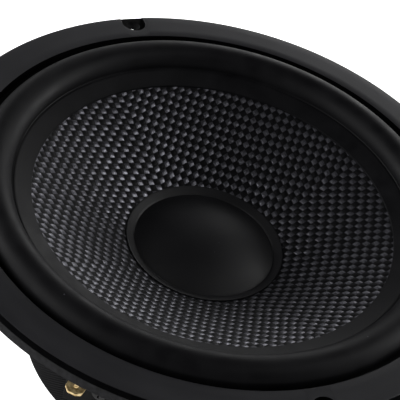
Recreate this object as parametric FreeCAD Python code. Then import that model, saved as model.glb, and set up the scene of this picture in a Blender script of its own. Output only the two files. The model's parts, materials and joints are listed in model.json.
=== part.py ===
import FreeCAD, Part
import math
import os

# A mid-woofer loudspeaker for a car door: a woven cone in a cast basket, driven by a voice coil in a
# ferrite magnet. Millimetres. The axis is Z and +Z is the way the sound goes. The origin is the centre
# of the flange's rear face, where the four screw holes' circle lies.

# ---------------------------------------------------------------- driving dimensions
# Flange, trim ring and gasket
ring_face_radius = 82.5          # outer edge of the trim ring's flat face
ring_width = 9.5                 # radial width of that face
ring_thickness = 1.14            # stands this high over the flange
ring_edge_chamfer = 1.14         # slope from the face out to the flange's edge
flange_thickness = 3.16
gasket_thickness = 1.0
gasket_inset = 1.0               # gasket's outer edge, inside the flange's edge
gasket_width = 6.7
gasket_screw_gap = 0.5           # gasket's notch, outside each screw hole
screw_hole_count = 4
screw_hole_radius = 2.2
screw_circle_inset = 3.64        # from the flange's edge to the screw circle
screw_first_angle = 45.0
notch_radius = 3.8               # U notch in the trim ring over each screw

# Surround: a rubber half roll with a landing on the cone and one in the flange's recess
surround_wall = 0.6
band_wall = 0.48                 # of the rubber band on the cone
shoulder_height = 0.3            # roll's inner foot, over the cone's edge
landing_width = 5.0              # flat outer landing, measured from the roll's foot
shadow_gap = 2.1                 # between the roll's foot and the trim ring
roll_width = 10.84
roll_height = 6.0
roll_foot_z = 1.0
cone_band_width = 5.96           # landing glued to the front of the cone
lip_clearance = 0.15             # trim ring's lip to the recess's wall
moving_gap = 0.3                 # between pieces that move past each other

# Cone and dust cap
cone_edge_z = 1.28               # front face of the cone at its outer edge
cone_edge_inset = 0.66           # cone's edge, inside the roll's inner foot
cone_depth = 21.2                # from the cone's edge down to its neck
cone_bulge = 0.44                # the bell shape, as the arc's height over its chord
cone_wall = 0.6
cap_radius = 23.9
cap_lip_width = 2.8
cap_wall = 0.5
dome_height = 6.0

# Voice coil and motor
former_inner_radius = 15.9
former_wall = 0.25
winding_wall = 0.9
winding_height = 12.0
coil_clearance = 0.5             # winding to top plate
pole_clearance = 0.4             # former to pole
mounting_depth = 59.0            # flange's rear face to the yoke's rear face
top_plate_thickness = 5.0
top_plate_radius = 42.0
magnet_thickness = 11.5
magnet_radius = 46.8
magnet_bore_gap = 4.5            # magnet's bore, outside the top plate's bore
yoke_plate_thickness = 5.0
yoke_radius = 42.0
vent_radius = 5.0
vent_mesh_radius = 7.0
vent_mesh_thickness = 0.5
shorting_ring_height = 2.0
shorting_ring_wall = 1.8
boot_wall = 1.6
boot_clearance = 0.1
boot_floor = 1.4
boot_lip = 2.0                   # boot's top edge, below the top plate's rear
boot_opening_radius = 18.0

# Spider
spider_outer_radius = 47.0
spider_landing_width = 5.0
spider_wall = 0.5
spider_roll_pitch = 4.6          # one up and down of the corrugation takes two of these
spider_roll_height = 1.3
spider_collar_width = 1.5
spider_above_plate = 9.0         # spider's landing over the top plate

# Basket
basket_wall = 2.0
bowl_bulge = 2.2                 # the bowl wall's arc height over its chord
bowl_top_gap = 2.0               # bowl's outer radius, outside the trim ring's opening
shelf_inset = 0.8                # shelf's inner edge, outside the spider's corrugation
base_radius = 40.0
base_bore_gap = 4.4              # base ring's bore, outside the top plate's bore
recess_step = 1.7                # depth of metal under the surround's landing
rib_angles = (-90.0, -30.0, 30.0, 90.0, 150.0, 210.0)
rib_half_angle = 7.0
terminal_rib_half_angle = 15.0
window_top_z = -14.0
window_shelf_gap = 1.0           # window's sill, over the spider's shelf
window_corner_radius = 4.0
fin_height = 3.0
fin_half_angle = 1.3
fin_end_gap = 2.5
bowl_foot_margin = 2.7           # bowl's foot, outside the wall round the spider

# Terminal board, tabs and leads
board_side = 1.2                 # board's side edge, outside the tabs
board_height = 12.0
board_wall = 1.6
board_top_z = -15.5
board_sink = 0.4                 # seat's depth into the bowl wall at the board's top edge
pad_margin = 0.6                 # pad's edge, outside the board
pad_depth = 3.0                  # pad's rear, inside the bowl's inner face
tab_spacing = 12.8
tab_width = 5.2
tab_wall = 0.8
tab_reach = 5.0                  # out of the board's face
tab_drop = 2.5                   # blade's centre, below the board's top edge
tab_chamfer = 1.4
tab_dimple_radius = 0.7
tab_dimple_inset = 2.6           # from the tip
tab_foot_height = 6.0            # flange of the tab, down the board's rear face
tab_inner_width = 3.2
tab_inner_reach = 5.0            # behind the board
board_gap = 0.2                  # board to the walls of its pocket
rivet_drop = 3.7                 # rivet, below the blade's centre
rivet_radius = 1.1
rivet_head_radius = 1.7
rivet_head_height = 0.6
lug_opening_margin = 0.6         # hole in the pad, beyond each tab
small_screw_radius = 1.1
small_screw_head_radius = 2.0
small_screw_head_height = 1.4
small_screw_length = 6.0
small_screw_spacing = 7.0        # one over the other, between the tabs
small_screw_slot_length = 2.6
small_screw_slot_width = 0.5
small_screw_slot_depth = 0.7
plate_screw_count = 4
plate_screw_circle = 30.0
plate_screw_radius = 1.6
plate_screw_head_radius = 3.2
plate_screw_head_height = 1.3
plate_screw_length = 6.0
plate_screw_socket_radius = 1.2
plate_screw_socket_depth = 0.8
joint_width = 2.6
joint_depth = 1.4
joint_height = 2.6
lead_radius = 0.6
lead_bend_share = 0.45           # of the shorter run, taken by each arc
lead_end_x = 3.9
lead_end_z = -23.8
lead_route = [                   # y and z of the points between the tab and the coil
    (-54.5, -19.8),
    (-47.5, -22.0),
    (-40.0, -23.4),
    (-32.0, -24.2),
    (-24.5, -24.2),
]

# ---------------------------------------------------------------- sizes that follow
AXIS = FreeCAD.Vector(0, 0, 1)
ORIGIN = FreeCAD.Vector(0, 0, 0)

flange_radius = ring_face_radius + ring_edge_chamfer
ring_opening = ring_face_radius - ring_width
ring_top_z = flange_thickness + ring_thickness
screw_circle = flange_radius - screw_circle_inset

roll_outer = ring_opening - shadow_gap
roll_inner = roll_outer - roll_width
landing_outer = roll_outer + landing_width
landing_bottom_z = roll_foot_z - surround_wall
recess_radius = landing_outer + moving_gap
recess_floor_z = landing_bottom_z - moving_gap
cone_radius = roll_inner - cone_edge_inset
band_inner = roll_inner - cone_band_width

former_outer_radius = former_inner_radius + former_wall
winding_radius = former_outer_radius + winding_wall
plate_bore = winding_radius + coil_clearance
pole_radius = former_inner_radius - pole_clearance
magnet_bore = plate_bore + magnet_bore_gap
base_bore = plate_bore + base_bore_gap

yoke_rear_z = -mounting_depth
magnet_rear_z = yoke_rear_z + yoke_plate_thickness
plate_rear_z = magnet_rear_z + magnet_thickness
plate_top_z = plate_rear_z + top_plate_thickness
gap_middle_z = plate_rear_z + top_plate_thickness / 2
winding_top_z = gap_middle_z + winding_height / 2
winding_bottom_z = gap_middle_z - winding_height / 2

neck_z = cone_edge_z - cone_depth
former_top_z = neck_z + cone_wall
spider_z = plate_top_z + spider_above_plate
shelf_z = spider_z - moving_gap
window_sill_z = shelf_z + window_shelf_gap

shelf_foot_radius = spider_outer_radius - spider_landing_width + shelf_inset + basket_wall
bowl_top_radius = ring_opening + bowl_top_gap
bowl_foot_radius = spider_outer_radius + moving_gap + basket_wall + bowl_foot_margin

board_width = tab_spacing + tab_width + 2 * board_side
board_bottom_z = board_top_z - board_height
blade_z = board_top_z - tab_drop
rivet_z = blade_z - rivet_drop
foot_bottom_z = blade_z - tab_foot_height


# ---------------------------------------------------------------- geometry helpers
def vector(r, z):
    """A point of a profile in the XZ half plane."""
    return FreeCAD.Vector(r, 0, z)


def via(r, z):
    """The middle point of an arc in a profile."""
    return (r, z, True)


def outline_face(points):
    """A closed face in the XZ plane; a point made by via() bends its stretch into an arc."""
    path = list(points) + [points[0]]
    edges = []
    i = 0
    while i < len(path) - 1:
        start = vector(*path[i][:2])
        if len(path[i + 1]) == 3:
            middle = vector(*path[i + 1][:2])
            end = vector(*path[i + 2][:2])
            edges.append(Part.Arc(start, middle, end).toShape())
            i += 2
        else:
            edges.append(Part.LineSegment(start, vector(*path[i + 1][:2])).toShape())
            i += 1
    return Part.Face(Part.Wire(edges))


def turned(points, first_angle=0.0, sweep=360.0):
    """The profile turned about the axis."""
    shape = outline_face(points).revolve(ORIGIN, AXIS, sweep)
    shape.rotate(ORIGIN, AXIS, first_angle)
    return shape


def ring(inner, outer, bottom, top):
    """A plain flat ring or tube."""
    return turned([(inner, bottom), (outer, bottom), (outer, top), (inner, top)])


def circle_over(start, end, height):
    """Centre and radius of the arc from start to end that stands a given height to the chord's left."""
    chord = math.hypot(end[0] - start[0], end[1] - start[1])
    radius = (chord ** 2 / 4 + height ** 2) / (2 * height)
    left = (-(end[1] - start[1]) / chord, (end[0] - start[0]) / chord)
    middle = ((start[0] + end[0]) / 2, (start[1] + end[1]) / 2)
    back = radius - height
    return (middle[0] - left[0] * back, middle[1] - left[1] * back), radius


def around(shape, count, first_angle):
    """Copies of a shape, evenly spaced about the axis."""
    copies = []
    for i in range(count):
        copy = shape.copy()
        copy.rotate(ORIGIN, AXIS, first_angle + i * 360.0 / count)
        copies.append(copy)
    return copies


def group(shapes):
    """Separate solids in one node."""
    return Part.makeCompound(shapes)


def block(x_range, y_range, z_range):
    """A box between two limits each way."""
    size = (x_range[1] - x_range[0], y_range[1] - y_range[0], z_range[1] - z_range[0])
    corner = FreeCAD.Vector(x_range[0], y_range[0], z_range[0])
    return Part.makeBox(size[0], size[1], size[2], corner)


def rod(radius, length, base, direction):
    """A round bar from a point along a direction."""
    return Part.makeCylinder(radius, length, FreeCAD.Vector(*base), FreeCAD.Vector(*direction))


# ---------------------------------------------------------------- shared surfaces
cone_centre, cone_arc_radius = circle_over(
    (former_outer_radius, neck_z), (cone_radius, cone_edge_z), cone_bulge
)


def cone_front_z(r):
    """Height of the cone's front face at a radius, on its profile's arc."""
    return cone_centre[1] + math.sqrt(cone_arc_radius ** 2 - (r - cone_centre[0]) ** 2)


bowl_centre, bowl_arc_radius = circle_over(
    (bowl_top_radius, 0.0), (bowl_foot_radius, shelf_z - basket_wall), bowl_bulge
)


def bowl_radius(z, inside=0.0):
    """Radius of the bowl wall at a height, on its outer face or a depth inside it."""
    return bowl_centre[0] + math.sqrt((bowl_arc_radius - inside) ** 2 - (z - bowl_centre[1]) ** 2)


pad_face_radius = bowl_radius(board_top_z) - board_sink
board_face_radius = pad_face_radius + board_wall
lead_start_y = -pad_face_radius + tab_inner_reach + moving_gap
lead_end_y = -former_outer_radius - joint_depth - moving_gap


# ---------------------------------------------------------------- flange pieces
def make_screw_holes(radius, bottom, top):
    """Cutters on the screw circle."""
    cutter = rod(radius, top - bottom, (screw_circle, 0, bottom), (0, 0, 1))
    return around(cutter, screw_hole_count, screw_first_angle)


def make_notches(radius, bottom, top):
    """U notches on the screw circle, open to the edge."""
    end = rod(radius, top - bottom, (screw_circle, 0, bottom), (0, 0, 1))
    mouth = block((screw_circle, flange_radius + radius), (-radius, radius), (bottom, top))
    return around(end.fuse(mouth).removeSplitter(), screw_hole_count, screw_first_angle)


def make_trim_ring():
    """Flat front ring whose inner lip holds the surround's landing down."""
    lip_outer = recess_radius - lip_clearance
    lip_bottom = roll_foot_z + moving_gap
    body = turned([
        (ring_opening, lip_bottom),
        (lip_outer, lip_bottom),
        (lip_outer, flange_thickness),
        (flange_radius, flange_thickness),
        (ring_face_radius, ring_top_z),
        (ring_opening, ring_top_z),
    ])
    for notch in make_notches(notch_radius, flange_thickness, ring_top_z + 1):
        body = body.cut(notch)
    return body


def make_gasket():
    """Foam ring on the flange's rear face, cut away at each screw."""
    outer = flange_radius - gasket_inset
    body = ring(outer - gasket_width, outer, -gasket_thickness, 0)
    for notch in make_notches(screw_hole_radius + gasket_screw_gap, -gasket_thickness - 1, 1):
        body = body.cut(notch)
    return body


# ---------------------------------------------------------------- basket
def make_window(first, last):
    """Cutter for one window of the bowl, with rounded corners."""
    reach = flange_radius + fin_height
    sector = turned(
        [
            (shelf_foot_radius, window_sill_z),
            (reach, window_sill_z),
            (reach, window_top_z),
            (shelf_foot_radius, window_top_z),
        ],
        first,
        last - first,
    )
    corners = []
    for edge in sector.Edges:
        ends = [vertex.Point for vertex in edge.Vertexes]
        level = len(ends) == 2 and abs(ends[0].z - ends[1].z) < 1e-6
        if level and edge.Curve.TypeId == "Part::GeomLine":
            corners.append(edge)
    return sector.makeFillet(window_corner_radius, corners)


def make_fin(angle):
    """Stiffening fin up the outside of a rib."""
    low = shelf_z - basket_wall + fin_end_gap
    high = -fin_end_gap
    middle = (low + high) / 2
    outer = -fin_height
    inner = basket_wall / 2
    points = [
        (bowl_radius(low, inner), low),
        (bowl_radius(low, 0.0), low),
        via(bowl_radius(middle, outer), middle),
        (bowl_radius(high, 0.0), high),
        (bowl_radius(high, inner), high),
        via(bowl_radius(middle, inner), middle),
    ]
    return turned(points, angle - fin_half_angle, 2 * fin_half_angle)


def make_pad():
    """Flat seat for the terminal board on the rib at the rear of the bowl."""
    half = board_width / 2 + pad_margin
    bottom = board_bottom_z - pad_margin
    top = board_top_z + pad_margin
    rear_y = -bowl_radius(bottom, basket_wall) + pad_depth
    rough = block((-half, half), (-pad_face_radius, rear_y), (bottom, top))
    inside = turned([
        (0, bottom - 1),
        (bowl_radius(bottom - 1, basket_wall), bottom - 1),
        via(bowl_radius((bottom + top) / 2, basket_wall), (bottom + top) / 2),
        (bowl_radius(top + 1, basket_wall), top + 1),
        (0, top + 1),
    ])
    return rough.cut(inside)


def make_basket():
    """Cast frame: flange with a recess, bowl with windows, spider shelf and base ring."""
    foot_z = shelf_z - basket_wall
    step_z = recess_floor_z - recess_step
    base_top = plate_top_z + basket_wall
    mouth = ring_opening - shadow_gap + moving_gap
    body = turned([
        (recess_radius, flange_thickness),
        (flange_radius, flange_thickness),
        (flange_radius, 0),
        (bowl_top_radius, 0),
        via(bowl_radius(foot_z / 2), foot_z / 2),
        (bowl_foot_radius, foot_z),
        (shelf_foot_radius, foot_z),
        (base_radius, plate_top_z),
        (base_bore, plate_top_z),
        (base_bore, base_top),
        (base_radius - basket_wall, base_top),
        (shelf_foot_radius - basket_wall, shelf_z),
        (bowl_radius(shelf_z, basket_wall), shelf_z),
        via(bowl_radius((shelf_z + step_z) / 2, basket_wall), (shelf_z + step_z) / 2),
        (bowl_radius(step_z, basket_wall), step_z),
        (mouth, step_z),
        (mouth, recess_floor_z),
        (recess_radius, recess_floor_z),
    ])
    half_angles = [terminal_rib_half_angle] + [rib_half_angle] * (len(rib_angles) - 1)
    for i, angle in enumerate(rib_angles):
        following = (i + 1) % len(rib_angles)
        last = rib_angles[following] + (360.0 if following == 0 else 0.0)
        body = body.cut(make_window(angle + half_angles[i], last - half_angles[following]))
    for angle in rib_angles[1:]:
        body = body.fuse(make_fin(angle))
    body = body.fuse(make_pad()).removeSplitter()
    for hole in make_screw_holes(screw_hole_radius, -1, flange_thickness + 1):
        body = body.cut(hole)
    for hole in make_plate_screw_holes(plate_top_z - 1, base_top + 1):
        body = body.cut(hole)
    openings = [make_board_pocket()] + make_lug_openings() + make_board_screw_shanks()
    for opening in openings:
        body = body.cut(opening)
    return body


# ---------------------------------------------------------------- diaphragm
def make_cone():
    """Woven bell cone from the voice coil to the surround."""
    middle = (former_outer_radius + cone_radius) / 2
    return turned([
        (former_outer_radius, neck_z - cone_wall),
        via(middle, cone_front_z(middle) - cone_wall),
        (cone_radius, cone_edge_z - cone_wall),
        (cone_radius, cone_edge_z),
        via(middle, cone_front_z(middle)),
        (former_outer_radius, neck_z),
    ])


def make_surround():
    """Rubber band on the cone, half roll and flat landing, all of one thickness."""
    middle = (roll_inner + roll_outer) / 2
    crest = roll_foot_z + roll_height
    shoulder = cone_edge_z + shoulder_height
    band_middle = (band_inner + cone_radius) / 2
    rise = (cone_edge_z - cone_front_z(band_inner)) / (cone_radius - band_inner)
    band_top = cone_front_z(band_inner) + band_wall
    return turned([
        (band_inner, cone_front_z(band_inner)),
        via(band_middle, cone_front_z(band_middle)),
        (cone_radius, cone_edge_z),
        (roll_inner + surround_wall, shoulder - surround_wall + rise * surround_wall),
        via(middle, crest - surround_wall),
        (roll_outer - surround_wall, landing_bottom_z),
        (landing_outer, landing_bottom_z),
        (landing_outer, roll_foot_z),
        (roll_outer, roll_foot_z),
        via(middle, crest),
        (roll_inner, shoulder),
        (band_inner, band_top),
    ])


def make_dust_cap():
    """Domed cap with a lip that lies on the cone."""
    edge = cap_radius - cap_lip_width
    foot = cone_front_z(edge) + cap_wall
    crown = (edge ** 2 + dome_height ** 2) / (2 * dome_height)
    centre = foot + dome_height - crown
    inner = crown - cap_wall
    inner_edge = edge - cap_wall
    lip_middle = (inner_edge + cap_radius) / 2
    return turned([
        (0, centre + inner),
        via(inner_edge / 2, centre + math.sqrt(inner ** 2 - inner_edge ** 2 / 4)),
        (inner_edge, centre + math.sqrt(inner ** 2 - inner_edge ** 2)),
        (inner_edge, cone_front_z(inner_edge)),
        via(lip_middle, cone_front_z(lip_middle)),
        (cap_radius, cone_front_z(cap_radius)),
        (cap_radius, cone_front_z(cap_radius) + cap_wall),
        (edge, foot),
        via(edge / 2, centre + math.sqrt(crown ** 2 - edge ** 2 / 4)),
        (0, centre + crown),
    ])


def make_former():
    """Thin tube that carries the winding and joins it to the cone."""
    return ring(former_inner_radius, former_outer_radius, winding_bottom_z, former_top_z)


def make_winding():
    """The coil's copper layers as one sleeve."""
    return ring(former_outer_radius, winding_radius, winding_bottom_z, winding_top_z)


def make_spider():
    """Corrugated cloth disc that centres the coil."""
    start = former_outer_radius + spider_collar_width
    end = spider_outer_radius - spider_landing_width
    rolls = 2 * max(1, round((end - start) / (2 * spider_roll_pitch)))
    pitch = (end - start) / rolls
    lower = [(former_outer_radius, spider_z), (start, spider_z)]
    upper = [(start, spider_z + spider_wall), (former_outer_radius, spider_z + spider_wall)]
    for i in range(rolls):
        side = 1 if i % 2 == 0 else -1
        peak = spider_z + side * spider_roll_height
        middle = start + (i + 0.5) * pitch
        corner = start + (i + 1) * pitch
        lower += [via(middle, peak), (corner, spider_z)]
        upper = [(corner, spider_z + spider_wall), via(middle, peak + spider_wall)] + upper
    lower.append((spider_outer_radius, spider_z))
    upper.insert(0, (spider_outer_radius, spider_z + spider_wall))
    return turned(lower + upper)


# ---------------------------------------------------------------- motor
def make_plate_screw_holes(bottom, top):
    """Cutters for the screws that hold the basket on the top plate."""
    cutter = rod(plate_screw_radius, top - bottom, (plate_screw_circle, 0, bottom), (0, 0, 1))
    return around(cutter, plate_screw_count, screw_first_angle)


def make_plate_screws():
    """Low-head screws through the base ring into the top plate."""
    head_z = plate_top_z + basket_wall
    head = rod(plate_screw_head_radius, plate_screw_head_height, (plate_screw_circle, 0, head_z), (0, 0, 1))
    shank_z = head_z - plate_screw_length
    shank = rod(plate_screw_radius, plate_screw_length, (plate_screw_circle, 0, shank_z), (0, 0, 1))
    socket_z = head_z + plate_screw_head_height - plate_screw_socket_depth
    socket = rod(plate_screw_socket_radius, 1, (plate_screw_circle, 0, socket_z), (0, 0, 1))
    screw = head.fuse(shank).cut(socket).removeSplitter()
    return group(around(screw, plate_screw_count, screw_first_angle))


def make_top_plate():
    """Steel washer at the front of the magnet, around the coil."""
    body = ring(plate_bore, top_plate_radius, plate_rear_z, plate_top_z)
    depth = plate_screw_length - basket_wall
    for hole in make_plate_screw_holes(plate_top_z - depth, plate_top_z + 1):
        body = body.cut(hole)
    return body


def make_magnet():
    """Ferrite ring."""
    return ring(magnet_bore, magnet_radius, magnet_rear_z, plate_rear_z)


def make_yoke():
    """Rear plate and centre pole in one, with a vent bored through."""
    return turned([
        (vent_radius, yoke_rear_z + vent_mesh_thickness),
        (vent_mesh_radius, yoke_rear_z + vent_mesh_thickness),
        (vent_mesh_radius, yoke_rear_z),
        (yoke_radius, yoke_rear_z),
        (yoke_radius, magnet_rear_z),
        (pole_radius, magnet_rear_z),
        (pole_radius, plate_top_z),
        (vent_radius, plate_top_z),
    ])


def make_shorting_ring():
    """Copper ring round the foot of the pole."""
    outer = pole_radius + shorting_ring_wall
    return ring(pole_radius, outer, magnet_rear_z, magnet_rear_z + shorting_ring_height)


def make_vent_mesh():
    """Screen set in the mouth of the vent."""
    return rod(vent_mesh_radius, vent_mesh_thickness, (0, 0, yoke_rear_z), (0, 0, 1))


def make_boot():
    """Rubber cover over the magnet's side and rear."""
    inner = magnet_radius + boot_clearance
    floor_z = yoke_rear_z - boot_floor
    return turned([
        (boot_opening_radius, floor_z),
        (inner + boot_wall, floor_z),
        (inner + boot_wall, plate_rear_z - boot_lip),
        (inner, plate_rear_z - boot_lip),
        (inner, yoke_rear_z),
        (boot_opening_radius, yoke_rear_z),
    ])


# ---------------------------------------------------------------- terminals
def make_board_pocket():
    """Clears the bowl wall behind and in front of the board."""
    half = board_width / 2 + board_gap
    return block(
        (-half, half),
        (-bowl_top_radius - 1, -pad_face_radius),
        (board_bottom_z - pad_margin - 1, board_top_z + board_gap),
    )


def make_lug_openings():
    """One hole through pad and rib for the foot and the inner end of each tab."""
    half = tab_width / 2 + lug_opening_margin
    low = foot_bottom_z - lug_opening_margin
    high = blade_z + tab_wall + lug_opening_margin
    return [
        block((x - half, x + half), (-pad_face_radius - 1, -former_outer_radius), (low, high))
        for x in (-tab_spacing / 2, tab_spacing / 2)
    ]


def small_screw_heights():
    """Heights of the two screws that hold the board."""
    middle = board_top_z - board_height / 2
    return (middle - small_screw_spacing / 2, middle + small_screw_spacing / 2)


def make_board_screw_shanks():
    """Shanks of the two screws, between the tabs."""
    return [
        rod(small_screw_radius, small_screw_length, (0, -board_face_radius, z), (0, 1, 0))
        for z in small_screw_heights()
    ]


def make_board_screws():
    """Pan-head screws with a cross slot."""
    front_y = -board_face_radius - small_screw_head_height
    slot_y = (front_y - 1, front_y + small_screw_slot_depth)
    long = small_screw_slot_length / 2
    narrow = small_screw_slot_width / 2
    screws = []
    for z, shank in zip(small_screw_heights(), make_board_screw_shanks()):
        head = rod(small_screw_head_radius, small_screw_head_height, (0, -board_face_radius, z), (0, -1, 0))
        across = block((-long, long), slot_y, (z - narrow, z + narrow))
        down = block((-narrow, narrow), slot_y, (z - long, z + long))
        screws.append(head.fuse(shank).cut(across).cut(down).removeSplitter())
    return group(screws)


def make_board():
    """Fibre board with slots for the tabs and holes for rivets and screws."""
    half = board_width / 2
    body = block((-half, half), (-board_face_radius, -pad_face_radius), (board_bottom_z, board_top_z))
    for x in (-tab_spacing / 2, tab_spacing / 2):
        body = body.cut(block(
            (x - tab_width / 2, x + tab_width / 2),
            (-board_face_radius - 1, -pad_face_radius + 1),
            (blade_z - tab_wall / 2, blade_z + tab_wall / 2),
        ))
        body = body.cut(rod(rivet_radius, board_wall + 2, (x, -board_face_radius - 1, rivet_z), (0, 1, 0)))
    return body.cut(group(make_board_screw_shanks()))


def make_tab(side):
    """Push-on blade through the board, with chamfered corners, a foot behind it and a narrower solder end."""
    x = side * tab_spacing / 2
    half = tab_width / 2
    root_y = -pad_face_radius + tab_wall
    tip_y = -board_face_radius - tab_reach
    corners = [
        (x - half, root_y),
        (x - half, tip_y + tab_chamfer),
        (x - half + tab_chamfer, tip_y),
        (x + half - tab_chamfer, tip_y),
        (x + half, tip_y + tab_chamfer),
        (x + half, root_y),
    ]
    low = blade_z - tab_wall / 2
    points = [FreeCAD.Vector(px, py, low) for px, py in corners + corners[:1]]
    blade = Part.Face(Part.makePolygon(points)).extrude(FreeCAD.Vector(0, 0, tab_wall))
    dimple = rod(tab_dimple_radius, tab_wall + 2, (x, tip_y + tab_dimple_inset, low - 1), (0, 0, 1))
    foot = block((x - half, x + half), (-pad_face_radius, root_y), (foot_bottom_z, low + tab_wall))
    solder_end = block(
        (x - tab_inner_width / 2, x + tab_inner_width / 2),
        (-pad_face_radius, -pad_face_radius + tab_inner_reach),
        (low, low + tab_wall),
    )
    body = blade.cut(dimple).fuse(foot).fuse(solder_end)
    hole = rod(rivet_radius, 2 * tab_wall, (x, -pad_face_radius - tab_wall / 2, rivet_z), (0, 1, 0))
    return body.cut(hole).removeSplitter()


def make_rivets():
    """One rivet through the board and each tab's foot."""
    rivets = []
    back_y = -pad_face_radius + tab_wall
    for x in (-tab_spacing / 2, tab_spacing / 2):
        tail = rod(rivet_radius, board_wall + tab_wall, (x, -board_face_radius, rivet_z), (0, 1, 0))
        head = rod(rivet_head_radius, rivet_head_height, (x, -board_face_radius, rivet_z), (0, -1, 0))
        back = rod(rivet_head_radius, rivet_head_height, (x, back_y, rivet_z), (0, 1, 0))
        rivets.append(tail.fuse(head).fuse(back).removeSplitter())
    return group(rivets)


def make_coil_joints():
    """Solder joints of the coil's wires and the flexible leads, on the outside of the former."""
    joints = []
    for side in (-1, 1):
        low = lead_end_z - joint_height / 2
        pad = block(
            (side * lead_end_x - joint_width / 2, side * lead_end_x + joint_width / 2),
            (-former_outer_radius - joint_depth, 0),
            (low, low + joint_height),
        )
        joints.append(pad.cut(rod(former_outer_radius, joint_height + 2, (0, 0, low - 1), (0, 0, 1))))
    return group(joints)


# ---------------------------------------------------------------- flexible leads
def make_lead(side):
    """Braided lead in a shallow sag: straight runs joined by tangent arcs."""
    start = (side * tab_spacing / 2, lead_start_y, blade_z)
    end = (side * lead_end_x, lead_end_y, lead_end_z)
    share = [(y - start[1]) / (end[1] - start[1]) for y, z in lead_route]
    points = [FreeCAD.Vector(*start)]
    for (y, z), s in zip(lead_route, share):
        points.append(FreeCAD.Vector(start[0] + (end[0] - start[0]) * s, y, z))
    points.append(FreeCAD.Vector(*end))
    edges = []
    last = points[0]
    for before, corner, after in zip(points, points[1:], points[2:]):
        back = before - corner
        ahead = after - corner
        shorter = min(back.Length, ahead.Length)
        turn = math.pi - back.getAngle(ahead)
        cut = lead_bend_share * shorter
        radius = cut / math.tan(turn / 2)
        print("lead bend radius", round(radius, 1))
        back.normalize()
        ahead.normalize()
        first = corner + back * cut
        second = corner + ahead * cut
        inward = back + ahead
        inward.normalize()
        middle = corner + inward * (radius / math.cos(turn / 2) - radius)
        edges.append(Part.LineSegment(last, first).toShape())
        edges.append(Part.Arc(first, middle, second).toShape())
        last = second
    edges.append(Part.LineSegment(last, points[-1]).toShape())
    path = Part.Wire(edges)
    section = Part.Wire(Part.makeCircle(lead_radius, points[0], points[1] - points[0]))
    tube = path.makePipeShell([section], True, True)
    print("lead length", round(path.Length, 1), "volume share",
          round(tube.Volume / (path.Length * math.pi * lead_radius ** 2), 4))
    return tube


# ---------------------------------------------------------------- all nodes
nodes = {
    "basket": make_basket(),
    "trim_ring": make_trim_ring(),
    "mounting_gasket": make_gasket(),
    "cone": make_cone(),
    "surround": make_surround(),
    "dust_cap": make_dust_cap(),
    "coil_former": make_former(),
    "coil_winding": make_winding(),
    "coil_lead_joints": make_coil_joints(),
    "spider": make_spider(),
    "top_plate": make_top_plate(),
    "magnet": make_magnet(),
    "yoke": make_yoke(),
    "shorting_ring": make_shorting_ring(),
    "vent_mesh": make_vent_mesh(),
    "magnet_boot": make_boot(),
    "plate_screws": make_plate_screws(),
    "terminal_board": make_board(),
    "positive_tab": make_tab(1),
    "negative_tab": make_tab(-1),
    "tab_rivets": make_rivets(),
    "board_screws": make_board_screws(),
    "positive_lead": make_lead(1),
    "negative_lead": make_lead(-1),
}

os.makedirs("parts", exist_ok=True)
for name, shape in nodes.items():
    shape.exportStep("parts/" + name + ".step")
    box = shape.BoundBox
    print(name, shape.isValid(), len(shape.Solids), round(shape.Volume, 1),
          [round(v, 2) for v in (box.XMin, box.YMin, box.ZMin, box.XMax, box.YMax, box.ZMax)])
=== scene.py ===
import json
import math
import bmesh
import bpy
import numpy as np
from mathutils import Matrix, Vector


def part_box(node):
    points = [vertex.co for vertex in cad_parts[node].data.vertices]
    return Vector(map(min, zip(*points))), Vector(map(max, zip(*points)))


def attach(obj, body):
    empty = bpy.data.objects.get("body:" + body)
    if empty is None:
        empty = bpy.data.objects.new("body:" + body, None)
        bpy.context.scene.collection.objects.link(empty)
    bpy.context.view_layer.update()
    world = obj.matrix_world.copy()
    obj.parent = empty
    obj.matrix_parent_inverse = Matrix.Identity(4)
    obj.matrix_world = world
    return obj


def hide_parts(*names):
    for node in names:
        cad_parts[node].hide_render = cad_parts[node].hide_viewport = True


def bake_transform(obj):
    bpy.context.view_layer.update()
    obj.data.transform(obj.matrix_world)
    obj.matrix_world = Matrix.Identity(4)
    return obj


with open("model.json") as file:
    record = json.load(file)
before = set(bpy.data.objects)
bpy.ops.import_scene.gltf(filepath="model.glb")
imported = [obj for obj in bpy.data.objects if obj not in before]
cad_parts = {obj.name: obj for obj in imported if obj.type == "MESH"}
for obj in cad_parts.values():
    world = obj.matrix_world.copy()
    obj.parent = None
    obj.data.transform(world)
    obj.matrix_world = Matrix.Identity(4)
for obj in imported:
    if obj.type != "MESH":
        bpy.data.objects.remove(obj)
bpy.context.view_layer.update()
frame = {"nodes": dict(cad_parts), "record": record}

# A woven-cone loudspeaker for a car door. Shapes are worked out in millimetres in the frame's own axes:
# Z is the axis of the cone, and the origin is the centre of the flange's rear face.
MM = 0.001
TURN = 2 * math.pi


def corners(node):
    """Lowest and highest corner of a frame node, in millimetres."""
    low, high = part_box(node)
    return np.array(low) / MM, np.array(high) / MM


# ---------------------------------------------------------------- sizes
ring_low, ring_high = corners("trim_ring")
cone_low, cone_high = corners("cone")
surround_high = corners("surround")[1]
spider_low, spider_high = corners("spider")
winding_low, winding_high = corners("coil_winding")
boot_low, boot_high = corners("magnet_boot")
mesh_low, mesh_high = corners("vent_mesh")

FLANGE_RADIUS = ring_high[0]
FLANGE_TOP = corners("basket")[1][2]
FACE_RADIUS = 82.5               # outer edge of the ring's flat face
RING_OPENING = 73.0
RING_TOP = ring_high[2]
RING_LIP_RADIUS = 76.05
RING_LIP_BOTTOM = ring_low[2]
NOTCH_RADIUS = 3.8
SCREW_CIRCLE = frame["record"]["mounts"][0]["dims"]["pcd_mm"] / 2
SCREW_ANGLES = np.radians([45.0, 135.0, 225.0, 315.0])

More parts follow.
